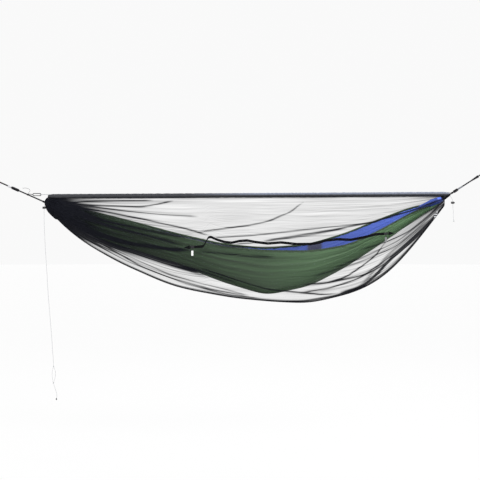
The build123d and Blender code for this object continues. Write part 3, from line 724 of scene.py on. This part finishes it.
def parting(places, section):
    """Line where the near upper and lower nets meet: the zip, and the widest line beyond its ends."""
    share = np.clip(np.minimum(places - ZIP_LINE[0][0], ZIP_LINE[-1][0] - places) / 0.03 + 1, 0, 1)
    return section[1] + (zip_height(places) - section[1]) * share * share * (3 - 2 * share), share


def pleats(places, shares, seed, count=9):
    """Sum of cosine folds that run the length of the cloth and so draw together at its two ends."""
    random = np.random.default_rng(seed)
    share = (places - places[0]) / (places[-1] - places[0])
    total = np.zeros((len(places), len(shares)))
    for _ in range(count):
        folds = random.uniform(2.5, 12)
        drift = random.uniform(-0.7, 0.7)
        phase = random.uniform(0, 2 * math.pi)
        weight = random.uniform(0.4, 1.0) / (1 + folds / 7)
        total += weight * np.cos(2 * math.pi * (folds * shares[None] + drift * share[:, None]) + phase)
    return total / count


def net_density(places, z, section, seed, near):
    """Share of the light stopped by the net: one flat layer, the gathered band at the left, folds and seams."""
    top, low = section[0][:, None], section[2][:, None]
    share = ((places - places[0]) / (places[-1] - places[0]))[:, None]
    gathered = 1 + 1.6 * np.exp(-(share / 0.10) ** 2) + 1.0 * np.exp(-((1 - share) / 0.08) ** 2)
    cover = cloth_settings().net_cover * gathered * np.ones(z.shape)
    band_top = line_height(BAND_TOP, places)[:, None]
    band_low = line_height(BAND_LOW, places)[:, None]
    inside = 1 / (1 + np.exp(-(band_top - z) / 0.006)) / (1 + np.exp(-(z - band_low) / 0.006))
    strength = np.interp(places, [0.53, 0.68, 0.76, 0.90, 1.15, 1.45, 1.75], [0.97, 0.90, 0.72, 0.46, 0.28, 0.16, 0.0])
    level = (band_top - z) / np.maximum(band_top - band_low, 0.02)
    streaks = 0.5 + 0.28 * np.sin(level * 19 + 1.5 * share) + 0.22 * np.sin(level * 43 - 3 * share + 1)
    open_share = np.clip((places[:, None] - 0.66) / 0.25, 0, 1) * 0.75
    cover += inside * strength[:, None] * (1.0 if near else 0.6) * (1 - open_share * streaks)
    for line, dark, width in FOLD_LINES:
        if not near and (line[0][1] + line[-1][1]) / 2 < -0.50:
            continue
        order = sorted(line)
        height = smooth(line_height(order, places), places, FOLD_ROUNDING)
        reach = FADE_REACH + FADE_PER_WIDTH * width
        fade = np.clip((places - order[0][0]) / reach, 0, 1) * np.clip((order[-1][0] - places) / reach, 0, 1)
        amount = dark * fade * (1.5 if near else 0.45)
        cover += amount[:, None] * np.exp(-((z - height[:, None]) / (width * 1.1)) ** 2)
    random = np.random.default_rng(seed)
    for _ in range(FINE_FOLDS_NEAR if near else FINE_FOLDS_FAR):
        from_left = random.random() < 0.6
        away = share if from_left else 1 - share
        line = random.uniform(0.02, 0.97) + random.uniform(-0.16, 0.16) * away + random.uniform(-0.3, 0.3) * away ** 2
        dark = random.uniform(0.06, 0.34) * np.exp(-(away / random.uniform(0.10, 0.42)) ** 2)
        cover += dark * np.exp(-((z - top - (low - top) * line) / random.uniform(0.0022, 0.0042)) ** 2)
    cover += 1.1 * np.exp(-((z - low) / 0.011) ** 2) * np.clip((places[:, None] - 0.6) / 0.3, 0.35, 1)
    cover += 0.5 * np.exp(-((z - top) / 0.006) ** 2)
    return np.clip(cover, 0.02, 0.99)


def net_side(name, side, upper, columns, rows, seed, nodes, made):
    """One cloth of the net: a grid over place along X and share down, with gentle folds square to it."""
    low_x, high_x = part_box(nodes[0])[0][0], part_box(nodes[0])[1][0]
    places = np.linspace(low_x, high_x, columns)
    section = net_section(places)
    top, rim, low, wide = section
    meet, share = parting(places, section)
    gap = ZIP_GAP * np.clip(share * 3, 0, 1) * np.clip((places - ZIP_LINE[0][0] + 0.03) / 0.05, 0, 1)
    gap = gap * np.clip((ZIP_LINE[-1][0] + 0.03 - places) / 0.05, 0, 1)
    if side > 0:
        meet, gap = rim, np.zeros_like(rim)
    down = np.linspace(0, 1, rows)
    if upper:
        z = top[:, None] + (meet + gap - top)[:, None] * down[None]
        shares = down * UPPER_SHARE
    else:
        z = (meet - gap)[:, None] + (low - meet + gap)[:, None] * np.sin(down * math.pi / 2)[None]
        shares = UPPER_SHARE + down * (1 - UPPER_SHARE)
    y = net_reach(section, z)
    points = np.stack([np.broadcast_to(places[:, None], y.shape), side * y, z], -1)
    cover = net_density(places, z, section, seed, side < 0)
    fold = pleats(places, shares, seed)
    hold = np.sin(math.pi * down) ** 0.7
    calm = 1 - np.exp(-((places - ZIP_LINE[0][0] - 0.02) / 0.06) ** 2) * (side < 0)
    depth = PLEAT_DEPTH * np.minimum(wide / 0.2, 1)[:, None] ** 1.2 * fold * hold[None] * calm[:, None]
    square = squares(points)
    points = points + square * depth[..., None]
    piece = sheet_mesh(name, points, {"cover": cover}, flip=side > 0, across=(shares[0], shares[-1]))
    finish_piece(piece, made, nodes=nodes)
    return piece


UPPER_SHARE = 0.42


def gather_bundle(name, node, rings, made, folds, depth, seed, marks):
    """Closed bundle of folded cloth: ellipses at stated places whose outline rises and falls in even folds.

    rings lists (x, middle z, half depth, half height); a smooth line through them gives the rest.
    """
    random = np.random.default_rng(seed)
    table = np.array(rings) * MM
    places = np.linspace(table[0, 0], table[-1, 0], 60)
    middle, half_y, half_z = [smooth(np.interp(places, table[:, 0], table[:, k]), places, 0.004) for k in (1, 2, 3)]
    angle = np.linspace(0, 2 * math.pi, 181)
    rise = sum(random.uniform(0.5, 1) * np.cos(round(folds * f) * angle + random.uniform(0, 6.3))
               for f in (0.5, 0.8, 1.0, 1.3)) / 4
    swell = 1 + depth * rise[None] - depth * 0.5
    y = half_y[:, None] * np.cos(angle) * swell
    z = middle[:, None] + half_z[:, None] * np.sin(angle) * swell
    x = np.broadcast_to(places[:, None], y.shape)
    body = np.stack([x, y, z], -1)
    caps = [np.broadcast_to([[places[k], 0, middle[k]]], (181, 3)) for k in (0, -1)]
    points = np.concatenate([caps[0][None], body, caps[1][None]])
    piece = weld(sheet_mesh(name, points, {key: np.full(points.shape[:2], value) for key, value in marks.items()},
                            flip=True))
    return finish_piece(piece, made, nodes=(node,) if node else ())


# each bundle: (x, middle z, half depth, half height) in millimetres
NET_LEFT_RINGS = [
    (503, -206, 8, 10), (508, -208, 14, 24), (514, -212, 19, 38), (525, -218, 23, 52), (545, -226, 27, 66),
    (575, -245, 30, 74), (610, -262, 28, 66), (640, -275, 22, 50),
]
NET_RIGHT_RINGS = [
    (3180, -182, 14, 18), (3205, -172, 13, 16), (3225, -160, 11, 13), (3241, -151, 8, 9),
]
BODY_LEFT_RINGS = [
    (511, -207, 7, 8), (530, -212, 10, 14), (560, -226, 14, 20), (605, -255, 18, 26),
]
BLUE_RIGHT_RINGS = [
    (3030, -240, 18, 14), (3070, -227, 23, 22), (3105, -212, 25, 27), (3140, -200, 23, 27),
    (3165, -192, 20, 24), (3182, -187, 15, 18), (3194, -184, 8, 9),
]
GREEN_RIGHT_RINGS = [
    (3075, -253, 20, 18), (3105, -246, 19, 17), (3135, -232, 15, 13), (3155, -220, 10, 9), (3166, -212, 5, 5),
]


class HAMMOCK_OT_net(bpy.types.Operator):
    """See-through net all round the hammock, gathered at both ends"""
    bl_idname = "hammock.net"
    bl_label = "Net"

    def execute(self, context):
        made = net_material("net_black", (0.0035, 0.0038, 0.0058))
        net_side("net_near_upper_cloth", -1, True, 700, 100, 11, ("net_near_upper",), made)
        net_side("net_near_lower_cloth", -1, False, 700, 135, 12, ("net_near_lower",), made)
        net_side("net_far_upper_cloth", 1, True, 460, 80, 21, ("net_far_upper",), made)
        net_side("net_far_lower_cloth", 1, False, 460, 120, 22, ("net_far_lower",), made)
        gather_bundle("net_gather_left_cloth", "net_gather_left", NET_LEFT_RINGS, made, 15, 0.2, 31,
                      {"cover": 0.98})
        gather_bundle("net_gather_right_cloth", "net_gather_right", NET_RIGHT_RINGS, made, 13, 0.2, 32,
                      {"cover": 0.80})
        return {"FINISHED"}


# ---- hammock body ----
BODY_ROUNDING = 0.14
# painted light: how bright the cloth is painted at seven places along it
LIT_ALONG = [0.12, 0.13, 0.15, 0.36, 0.42, 0.85, 0.95]


def body_sheet(name, nodes, side, first, last, rows, seed, made):
    """Cloth from one angle to another of a half ellipse at each place, with folds along its length."""
    low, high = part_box(nodes[0])
    places = np.linspace(low[0], high[0], 520)
    panel, floor = ("hammock_near_panel", "hammock_near_floor") if side < 0 else (
        "hammock_far_panel", "hammock_far_floor")
    rim, wide = outline(panel, places, BODY_ROUNDING)[1:]
    bottom = outline(floor, places, BODY_ROUNDING)[0]
    angle = np.radians(np.linspace(first, last, rows))
    y = wide[:, None] * np.cos(angle)
    z = rim[:, None] + (rim - bottom)[:, None] * np.sin(angle)
    x = np.broadcast_to(places[:, None], y.shape)
    points = np.stack([x, y, z], -1)
    around = np.abs(angle - 1.5 * math.pi) / (0.5 * math.pi)
    fold = pleats(places, around * 1.4 * side, seed, 10)
    share = (places - places[0]) / (places[-1] - places[0])
    depth = 0.010 + 0.016 * np.exp(-((1 - share) / 0.25) ** 2) + 0.006 * np.exp(-(share / 0.25) ** 2)
    depth = np.minimum(depth, wide * 0.16)
    hold = np.clip((1 - around) * 6, 0, 1)
    square = squares(points)
    inward = np.sign((square * (np.stack([x, 0 * y, rim[:, None] + 0 * y], -1) - points)).sum(-1))
    points = points + square * (inward * depth[:, None] * (0.6 + fold) * hold[None])[..., None]
    # Painted light and shade: lit towards the right along LIT_ALONG, darker towards the bottom of the cloth, and
    # lighter or darker over each fold.
    shade = smooth(np.interp(places, [0.6, 1.5, 1.95, 2.25, 2.55, 2.85, 3.1], LIT_ALONG), places, 0.15)
    painted_shading = np.clip(shade[:, None] * (0.72 + 0.4 * around[None]) + fold * 0.55, 0, 1)
    # Near black marked on the far cloth: a band from X 2.285 to 2.385 above Z -0.60, and a strip along its rim left of
    # X 1.90.
    darkened_area = 1 / (1 + np.exp(-(np.minimum(points[..., 0] - 2.285, 2.385 - points[..., 0])) / 0.004))
    darkened_area = darkened_area * (points[..., 1] > 0.06) * (points[..., 2] > -0.60)
    edge_strip = np.clip((1.90 - points[..., 0]) / 0.06, 0, 1) * np.clip((around[None] - 0.90) / 0.03, 0, 1)
    darkened_area = np.maximum(darkened_area, edge_strip * (points[..., 1] > 0))
    marks = {"painted_shading": np.broadcast_to(painted_shading, y.shape), "darkened_area": darkened_area}
    piece = sheet_mesh(name, points, marks, across=(0, (last - first) / 90))
    add_solidify(piece, cloth_settings().thickness)
    finish_piece(piece, made, nodes=nodes)
    return piece


def hem_strip(name, node, side, made):
    """Rounded folded edge that follows the rim: a flattened tube along it."""
    low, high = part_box(node)
    places = np.linspace(low[0], high[0], 500)
    bottom, top, wide = outline(node, places, BODY_ROUNDING)
    middle = (top + bottom) / 2 - 0.003
    path = np.stack([places, side * (wide - 0.0013), middle], 1)
    angle = np.linspace(0, 2 * math.pi, 16, endpoint=False)
    ripple = 0.0012 * np.sin(places * 90 + side) + 0.0008 * np.sin(places * 210)
    ends = np.clip(np.minimum(places - places[0], places[-1] - places) / 0.08, 0.08, 1) ** 0.5
    half = (top - bottom) / 2 * 0.85 * ends
    points = np.stack([
        np.broadcast_to(places[:, None], (len(places), 16)),
        path[:, 1][:, None] + ripple[:, None] + 0.0020 * np.cos(angle)[None],
        middle[:, None] + half[:, None] * np.sin(angle)[None]], -1)
    closed = close_tube(points)
    marks = {"painted_shading": np.full(closed.shape[:2], 0.5), "darkened_area": np.zeros(closed.shape[:2])}
    piece = weld(sheet_mesh(name, closed, marks))
    finish_piece(piece, made, nodes=(node,))
    return piece


class HAMMOCK_OT_body(bpy.types.Operator):
    """Green hammock cloth with its blue inner panel, hems and gathered ends"""
    bl_idname = "hammock.body_cloth"
    bl_label = "Hammock Cloth"

    def execute(self, context):
        settings = cloth_settings()
        green = tuple(settings.green)
        blue = tuple(settings.blue)
        # Each cloth gets a painted shaded copy and a painted lit copy of its colour.
        outer = cloth_material("green_nylon", tuple(c * 0.22 for c in green), tuple(c * 2.3 for c in green))
        inner = cloth_material("blue_nylon", tuple(c * 0.7 for c in blue), tuple(min(c * 1.5, 1) for c in blue))
        hem = cloth_material("hem_nylon", tuple(c * 0.18 for c in green), tuple(c * 0.9 for c in green))
        body_sheet("hammock_near_cloth", ("hammock_near_panel", "hammock_near_floor"), -1, 180, 270, 90, 41,
                   outer)
        body_sheet("hammock_floor_cloth", ("hammock_far_floor",), 1, 270, 305, 40, 42, outer)
        body_sheet("hammock_far_cloth", ("hammock_far_panel",), 1, 305, 360, 60, 43, inner)
        hem_strip("hammock_near_hem_cloth", "hammock_near_hem", -1, hem)
        hem_strip("hammock_far_hem_cloth", "hammock_far_hem", 1, hem)
        # Painted light on the gathered ends: the left gather is painted dark, the right gathers painted lit.
        gather_bundle("hammock_gather_left_cloth", "hammock_gather_left", BODY_LEFT_RINGS, outer,
                      9, 0.25, 51, {"painted_shading": 0.2, "darkened_area": 0.0})
        gather_bundle("hammock_gather_right_cloth", "hammock_gather_right", BLUE_RIGHT_RINGS, inner,
                      7, 0.12, 52, {"painted_shading": 0.85, "darkened_area": 0.0})
        gather_bundle("hammock_gather_green_cloth", None, GREEN_RIGHT_RINGS, outer,
                      6, 0.14, 53, {"painted_shading": 0.9, "darkened_area": 0.0})
        return {"FINISHED"}


# ---- sleeve ----
SLEEVE_RADIUS = 0.0158
SLEEVE_PAST_LEFT = 0.024
SLEEVE_PAST_RIGHT = 0.034
SLEEVE_STEP = 0.0030
SLEEVE_DROP = 0.0012
SLEEVE_SIDES = 28
SLEEVE_PUCKERS = 26


class HAMMOCK_OT_sleeve(bpy.types.Operator):
    """Scrunched black sleeve over the ridgeline"""
    bl_idname = "hammock.sleeve"
    bl_label = "Ridge Sleeve"

    def execute(self, context):
        start, end = axis_ends("ridge_sleeve")
        along_ridge = (end - start) / np.linalg.norm(end - start)
        path = straight_path(start - along_ridge * SLEEVE_PAST_LEFT, end + along_ridge * SLEEVE_PAST_RIGHT, SLEEVE_STEP)
        path[:, 2] -= SLEEVE_DROP
        along = np.linspace(0, 1, len(path)) * np.linalg.norm(path[-1] - path[0])
        angle = np.linspace(0, 2 * math.pi, SLEEVE_SIDES, endpoint=False)
        random = np.random.default_rng(61)
        rise = np.zeros((len(path), SLEEVE_SIDES))
        for _ in range(SLEEVE_PUCKERS):
            wave = random.uniform(0.012, 0.075)
            slant = random.integers(-2, 3)
            rise += random.uniform(0.3, 1) * np.cos(
                2 * math.pi * along[:, None] / wave + slant * angle[None] + random.uniform(0, 6.3))
        radius = SLEEVE_RADIUS * (1 + 0.022 * rise / 2.2)
        drawn = np.clip(np.minimum(path[:, 0] - path[0, 0] + 0.012, path[-1, 0] - path[:, 0] + 0.012) / 0.045, 0, 1)
        drawn = np.sqrt(drawn)
        across, up = path_frames(path)
        height = across[:, 2:3] * np.cos(angle)[None] + up[:, 2:3] * np.sin(angle)[None]
        # Painted light: the sleeve's upper half is painted lighter, more so to the right of X 1.45.
        lit = np.clip(height * 1.6 + 0.1, 0, 1) * np.clip((path[:, :1] - 1.45) / 0.5, 0.05, 1)
        piece = tube_mesh("ridge_sleeve_cloth", path, radius * drawn[:, None], SLEEVE_SIDES, {"lit": lit})
        finish_piece(piece, sleeve_material(), nodes=("ridge_sleeve",))
        return {"FINISHED"}


# ---- zip ----
PULL_TAB_LENGTH = 0.033
TAPE_SHARE = 0.62
TAPE_GAPE = 0.00002


def zip_band(name, side, node, made):
    """Tape along the zip's line with rolled outer edge, and its coil as a bead with one swelling per tooth."""
    places = np.linspace(ZIP_LINE[0][0], ZIP_LINE[-1][0], 900)
    section = net_section(places)
    level = zip_height(places)
    teeth = 0.0010 + 0.0004 * np.cos(2 * math.pi * places / 0.0030)
    ruffle = 0.0030 * np.sin(places * 71 + side) + 0.0020 * np.sin(places * 173)
    profile = np.array([[0.0, 0.0], [0.3, 1.0], [1.3, 1.3], [2.3, 0.9], [3.2, 0.3], [8.0, 0.25], [12.5, 0.3],
                        [13.4, 0.9], [14.2, 0.4], [13.6, -0.3], [8.0, -0.35], [3.2, -0.4], [2.3, -0.9],
                        [1.3, -1.3], [0.3, -1.0]]) * MM
    profile[:, 0] *= TAPE_SHARE
    away = TAPE_GAPE + profile[None, :, 0] + 0 * places[:, None]
    out = np.where(profile[None, :, 0] < 0.0018, profile[None, :, 1] * teeth[:, None] / 0.0012, profile[None, :, 1])
    z = level[:, None] + side * away
    y = net_reach(section, z) + out + ruffle[:, None] * np.clip(away / 0.012, 0, 1) + 0.0005
    points = np.stack([np.broadcast_to(places[:, None], z.shape), -y, z], -1)
    piece = weld(sheet_mesh(name, close_tube(points), flip=side > 0))
    return finish_piece(piece, made, nodes=(node,))


class HAMMOCK_OT_zip(bpy.types.Operator):
    """Zip tapes with their coil teeth, the closing patches, sliders and pulls"""
    bl_idname = "hammock.zip"
    bl_label = "Zip"

    def execute(self, context):
        made = tape_material()
        zip_band("zip_tape_upper_woven", 1, "zip_tape_upper", made)
        zip_band("zip_tape_lower_woven", -1, "zip_tape_lower", made)
        dress("zip_garages", made)
        slider = metal_material("slider_black", (0.03, 0.03, 0.033), 0.4, 0.6)
        for node in ("zip_slider_left", "zip_slider_right"):
            dress(node, slider)
        for node, tab in (("zip_pull_left_outer", (0.72, 0.72, 0.72)), ("zip_pull_left_inner", (0.16, 0.165, 0.17)),
                          ("zip_pull_right", (0.16, 0.165, 0.17))):
            dress(node, pull_material(node + "_moulded", node, tab))
        return {"FINISHED"}


# ---- tag: lowest and highest corner (x, z), and its slope ----
TAG_BOX = ((3.122, -0.318), (3.148, -0.280))
TAG_SLANT = 0.5
TAG_THICKNESS = 0.0016


class HAMMOCK_OT_tag(bpy.types.Operator):
    """Blank folded tag sewn to the net near its right gather"""
    bl_idname = "hammock.tag"
    bl_label = "Tag"

    def execute(self, context):
        low, high = TAG_BOX
        across = np.linspace(0, 1, 25)
        places = low[0] + (high[0] - low[0]) * across
        level = np.linspace(high[1], low[1], 33)[None] + 0.0 * places[:, None]
        level = level + TAG_SLANT * (places[:, None] - low[0])
        whole = np.linspace(*[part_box("net_near_upper")[k][0] for k in (0, 1)], 400)
        section = [np.interp(places, whole, values) for values in net_section(whole)]
        away = net_reach(section, level) + 0.003 + 0.0025 * np.sin(across * math.pi)[:, None]
        away = away + 0.0012 * np.sin(level * 260)
        points = np.stack([places[:, None] + 0 * level, -away, level], -1)
        piece = sheet_mesh("blank_tag", points)
        add_solidify(piece, TAG_THICKNESS)
        made, shader = material("tag_weave", 0.8)
        level_in = Sock.node("ShaderNodeSeparateXYZ", None, {0: place_coordinates()}, 2)
        bars = Sock.math("GREATER_THAN", Sock.math("FRACT", level_in * 62.0), 0.45)
        feed(shader, "Base Color", blend_colours(bars, (0.55, 0.56, 0.58), (0.01, 0.01, 0.012)))
        bump(shader, stripes(600.0), 0.4, 0.0003)
        finish_piece(piece, made)
        return {"FINISHED"}


class HAMMOCK_OT_hardware(bpy.types.Operator):
    """Anchor plates, ferrule, clip and cord locks"""
    bl_idname = "hammock.hardware"
    bl_label = "Hardware"

    def execute(self, context):
        plate = metal_material("anchor_anodised", (0.35, 0.36, 0.38), 0.4)
        dress("anchor_plate_left", plate)
        dress("anchor_plate_right", plate)
        dress("rope_ferrule_left", metal_material("ferrule_bare", (0.6, 0.6, 0.62), 0.35))
        clip = metal_material("clip_coated", (0.02, 0.02, 0.022), 0.45, 0.3)
        dress("ridge_clip", clip)
        dress("ridge_clip_gate", clip)
        lock = plastic_material("lock_black", (0.015, 0.015, 0.017))
        for node in ("cord_lock_left", "cord_lock_right", "cord_lock_plunger_left", "cord_lock_plunger_right"):
            dress(node, lock)
        return {"FINISHED"}


class HAMMOCK_PT_panel(bpy.types.Panel):
    """Sidebar panel with one button for each group of pieces and the sizes and colours below them"""
    bl_label = "Hammock"
    bl_idname = "HAMMOCK_PT_panel"
    bl_space_type = "VIEW_3D"
    bl_region_type = "UI"
    bl_category = "Hammock"

    def draw(self, context):
        for kind in OPERATORS:
            self.layout.operator(kind.bl_idname)
        for settings in (stage_settings(), cloth_settings()):
            for key in settings.bl_rna.properties.keys():
                if key not in ("rna_type", "name"):
                    self.layout.prop(settings, key)


OPERATORS = (
    HAMMOCK_OT_cords, HAMMOCK_OT_ropes, HAMMOCK_OT_net, HAMMOCK_OT_body, HAMMOCK_OT_sleeve,
    HAMMOCK_OT_zip, HAMMOCK_OT_tag, HAMMOCK_OT_hardware, HAMMOCK_OT_stage,
)
CLASSES = (HammockStageSettings, HammockClothSettings, *OPERATORS, HAMMOCK_PT_panel)


def register():
    for kind in CLASSES:
        bpy.utils.register_class(kind)
    bpy.types.Scene.hammock_stage = PointerProperty(type=HammockStageSettings)
    bpy.types.Scene.hammock_cloth = PointerProperty(type=HammockClothSettings)


def unregister():
    del bpy.types.Scene.hammock_stage
    del bpy.types.Scene.hammock_cloth
    for kind in reversed(CLASSES):
        bpy.utils.unregister_class(kind)


def main():
    register()
    for kind in OPERATORS:
        group, action = kind.bl_idname.split(".")
        getattr(getattr(bpy.ops, group), action)()


if __name__ == "__main__":
    main()
